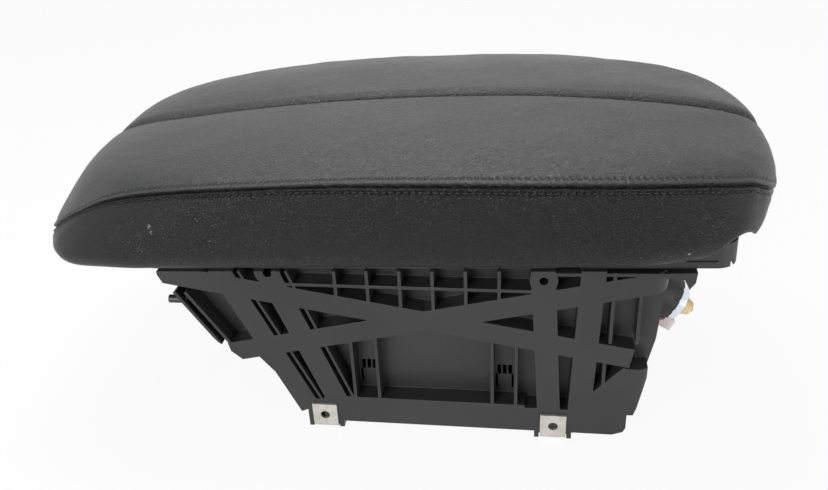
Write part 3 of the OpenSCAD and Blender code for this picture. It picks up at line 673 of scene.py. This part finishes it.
def stitchTree():
    tree = bpy.data.node_groups.new("stitchRow", "GeometryNodeTree")
    for name, kind, inOut in (("Line", "NodeSocketGeometry", "INPUT"), ("Pitch", "NodeSocketFloat", "INPUT"),
                              ("Length", "NodeSocketFloat", "INPUT"), ("Thickness", "NodeSocketFloat", "INPUT"),
                              ("Slant", "NodeSocketFloat", "INPUT"), ("Material", "NodeSocketMaterial", "INPUT"),
                              ("Stitches", "NodeSocketGeometry", "OUTPUT")):
        tree.interface.new_socket(name, in_out=inOut, socket_type=kind)
    start = addNode(tree, "NodeGroupInput")
    curve = addNode(tree, "GeometryNodeMeshToCurve", {0: start.outputs["Line"]})
    spaced = addNode(tree, "GeometryNodeResampleCurve", {0: curve.outputs[0]}, mode="LENGTH")
    tree.links.new(start.outputs["Pitch"], spaced.inputs["Length"])
    tangent = addNode(tree, "GeometryNodeInputTangent")
    outward = addNode(tree, "GeometryNodeInputNamedAttribute", {"Name": "outward"}, data_type="FLOAT_VECTOR")
    first = addNode(tree, "FunctionNodeAlignRotationToVector", {"Vector": outward.outputs[0]}, axis="Z")
    alongLine = {"Rotation": first.outputs[0], "Vector": tangent.outputs[0]}
    second = addNode(tree, "FunctionNodeAlignRotationToVector", alongLine, axis="X", pivot_axis="Z")
    lean = addNode(tree, "ShaderNodeCombineXYZ", {"Z": start.outputs["Slant"]})
    leanTurn = addNode(tree, "FunctionNodeEulerToRotation", {0: lean.outputs[0]})
    turned = addNode(tree, "FunctionNodeRotateRotation", {0: second.outputs[0], 1: leanTurn.outputs[0]},
                     rotation_space="LOCAL")
    ball = addNode(tree, "GeometryNodeMeshUVSphere", {"Segments": 8, "Rings": 6, "Radius": 0.5})
    thickness = start.outputs["Thickness"]
    size = addNode(tree, "ShaderNodeCombineXYZ", {"X": start.outputs["Length"], "Y": thickness, "Z": thickness})
    threadShape = addNode(tree, "GeometryNodeTransform", {0: ball.outputs[0], "Scale": size.outputs[0]})
    places = {"Points": spaced.outputs[0], "Instance": threadShape.outputs[0], "Rotation": turned.outputs[0]}
    placed = addNode(tree, "GeometryNodeInstanceOnPoints", places)
    real = addNode(tree, "GeometryNodeRealizeInstances", {0: placed.outputs[0]})
    smooth = addNode(tree, "GeometryNodeSetShadeSmooth", {0: real.outputs[0]})
    painted = addNode(tree, "GeometryNodeSetMaterial", {0: smooth.outputs[0], "Material": start.outputs["Material"]})
    addNode(tree, "NodeGroupOutput", {0: painted.outputs[0]})
    return tree


def stitches(name, rows, tree):
    points, outs, edges = [], [], []
    for line, out in rows.values():
        base = len(points)
        points += (line + out * stitch["sink"] * mm).tolist()
        outs += out.tolist()
        edges += [(base + k, base + k + 1) for k in range(len(line) - 1)]
    mesh = bpy.data.meshes.new(name + "Line")
    mesh.from_pydata(points, edges, [])
    mesh.attributes.new("outward", "FLOAT_VECTOR", "POINT").data.foreach_set("vector", np.array(outs).ravel())
    holder = bpy.data.objects.new(name + "Line", mesh)
    scene.collection.objects.link(holder)
    modifier = holder.modifiers.new("stitches", "NODES")
    modifier.node_group = tree
    values = {"Pitch": seam["stitchPitch"] * mm, "Length": stitch["length"] * mm, "Thickness": stitch["thickness"] * mm,
              "Slant": math.radians(stitch["slant"]), "Material": thread}
    for item in tree.interface.items_tree:
        if item.name in values and item.in_out == "INPUT":
            modifier[item.identifier] = values[item.name]
    view = bpy.context.evaluated_depsgraph_get()
    made = bpy.data.objects.new(name, bpy.data.meshes.new_from_object(holder.evaluated_get(view)))
    bpy.data.objects.remove(holder)
    scene.collection.objects.link(made)
    return made


rowTree = stitchTree()
for lidSide, sign, seed in (("right", -1, 11), ("left", 1, 23)):
    cushion, stitchLines = leatherCushion(lidSide + "Leather", sign, seed, [bandSkinShaded, topSkinLit])
    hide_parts(lidSide + "_cushion")
    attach(cushion, lidSide + "_lid")
    threadPiece = stitches(lidSide + "Stitches", stitchLines, rowTree)
    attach(threadPiece, lidSide + "_lid")
    print(lidSide, "cushion:", len(cushion.data.polygons), "faces,", len(threadPiece.data.polygons), "faces of thread")


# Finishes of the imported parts

def roundedNormal(tree, radius, height, distance):  # softened edges with a fine bump over them
    soft = addNode(tree, "ShaderNodeBevel", {"Radius": radius}, samples=4).outputs[0]
    bump = {"Height": height, "Strength": 1.0, "Distance": distance, "Normal": soft}
    return addNode(tree, "ShaderNodeBump", bump).outputs[0]


def mouldedPlastic(name, look):
    mat, tree, shader = newMaterial(name)
    place = objectPlace(tree)
    grain = noise(tree, place, look["grain"], 2.0)
    flow = noise(tree, place, 9.0, 5.0, Distortion=0.6)
    dust = mapped(tree, flow, 0.35, 0.75, look["tone"] * 0.8, look["tone"] * 1.35)
    tree.links.new(grey(tree, dust, 1.0, 1.05), shader.inputs["Base Color"])
    rough = mapped(tree, flow, 0.3, 0.7, look["roughness"] - 0.06, look["roughness"] + 0.08)
    tree.links.new(rough, shader.inputs["Roughness"])
    tree.links.new(roundedNormal(tree, look["edge"], grain, look["depth"]), shader.inputs["Normal"])
    shader.inputs["Specular IOR Level"].default_value = look["specular"]
    return mat


def metalFinish(name, look):
    mat, tree, shader = newMaterial(name)
    place = objectPlace(tree)
    lines = noise(tree, stretched(tree, place, look["brush"]), 1.0, 3.0)
    stain = noise(tree, place, 180.0, 4.0)
    tree.links.new(blended(tree, stain, (*look["dark"], 1), (*look["light"], 1)), shader.inputs["Base Color"])
    rough = mapped(tree, stain, 0.3, 0.7, look["roughness"] - 0.05, look["roughness"] + 0.1)
    tree.links.new(rough, shader.inputs["Roughness"])
    tree.links.new(roundedNormal(tree, look["edge"], lines, 0.00003), shader.inputs["Normal"])
    shader.inputs["Metallic"].default_value = look["metal"]
    return mat


def softPlastic(name, look):
    mat, tree, shader = newMaterial(name)
    cloud = noise(tree, objectPlace(tree), 120.0, 3.0)
    tree.links.new(blended(tree, cloud, (*look["dark"], 1), (*look["light"], 1)), shader.inputs["Base Color"])
    tree.links.new(roundedNormal(tree, look["edge"], cloud, 0.00005), shader.inputs["Normal"])
    shader.inputs["Roughness"].default_value = look["roughness"]
    shader.inputs["Subsurface Weight"].default_value = look["glow"]
    shader.inputs["Subsurface Scale"].default_value = 0.003
    return mat


plastics = {
    "boxBlack": {"tone": 0.017, "roughness": 0.42, "specular": 0.5, "grain": 1500.0, "depth": 0.00003, "edge": 0.0006},
    "frameBlack": {"tone": 0.02, "roughness": 0.45, "specular": 0.45, "grain": 1300.0, "depth": 0.00004, "edge": 0.0008},
    "lidBlack": {"tone": 0.03, "roughness": 0.55, "specular": 0.4, "grain": 900.0, "depth": 0.00008, "edge": 0.0008},
    "buttonBlack": {"tone": 0.015, "roughness": 0.3, "specular": 0.5, "grain": 1200.0, "depth": 0.00002, "edge": 0.0009},
    "rubberBlack": {"tone": 0.02, "roughness": 0.75, "specular": 0.3, "grain": 700.0, "depth": 0.0001, "edge": 0.0006},
}
metals = {
    "zinc": {"dark": (0.52, 0.52, 0.5), "light": (0.7, 0.7, 0.69), "roughness": 0.32, "metal": 1.0,
             "edge": 0.0002, "brush": (900, 900, 120)},
    "clipZinc": {"dark": (0.42, 0.40, 0.36), "light": (0.68, 0.66, 0.60), "roughness": 0.45, "metal": 0.75,
                 "edge": 0.0003, "brush": (140, 900, 900)},
    "nickel": {"dark": (0.62, 0.66, 0.72), "light": (0.82, 0.85, 0.9), "roughness": 0.2, "metal": 1.0,
               "edge": 0.0003, "brush": (500, 500, 500)},
    "brass": {"dark": (0.55, 0.38, 0.14), "light": (0.8, 0.6, 0.28), "roughness": 0.28, "metal": 1.0,
              "edge": 0.0002, "brush": (600, 600, 600)},
    "greyCasting": {"dark": (0.16, 0.16, 0.165), "light": (0.26, 0.26, 0.27), "roughness": 0.5, "metal": 0.4,
                    "edge": 0.0005, "brush": (700, 700, 700)},
}
pales = {
    "cream": {"dark": (0.62, 0.47, 0.22), "light": (0.78, 0.64, 0.36), "roughness": 0.4, "glow": 0.1, "edge": 0.0004},
    "pale": {"dark": (0.80, 0.70, 0.68), "light": (0.92, 0.86, 0.84), "roughness": 0.3, "glow": 0.4, "edge": 0.0004},
}
finishes = {}
for make, looks in ((mouldedPlastic, plastics), (metalFinish, metals), (softPlastic, pales)):
    for finishName, look in looks.items():
        finishes[finishName] = make(finishName, look)

nodeFinish = {
    "storage_bin": "boxBlack", "bin_mat": "rubberBlack", "lid_frame": "frameBlack", "frame_screws": "zinc",
    "clip_nuts": "clipZinc", "hinge_pins": "zinc", "lid_buffers": "rubberBlack", "socket_barrel": "nickel",
    "socket_collar": "buttonBlack", "socket_base": "cream", "socket_centre_contact": "brass",
    "socket_ring_nut": "buttonBlack", "socket_lamp_holder": "pale",
    "right_release_button": "buttonBlack", "left_release_button": "buttonBlack",
}
for lidSide in ("right", "left"):
    nodeFinish[lidSide + "_lid_base"] = "lidBlack"
    nodeFinish[lidSide + "_lid_core"] = "lidBlack"
    nodeFinish[lidSide + "_hinge_arms"] = "greyCasting"
    nodeFinish[lidSide + "_lid_screws"] = "zinc"
    nodeFinish[lidSide + "_lid_catch"] = "zinc"

for nodeName, finish in nodeFinish.items():
    cadNode = frame["nodes"][nodeName]
    cadNode.data.materials.clear()
    cadNode.data.materials.append(finishes[finish])
print("finishes put on", len(nodeFinish), "packed parts")

print("done")
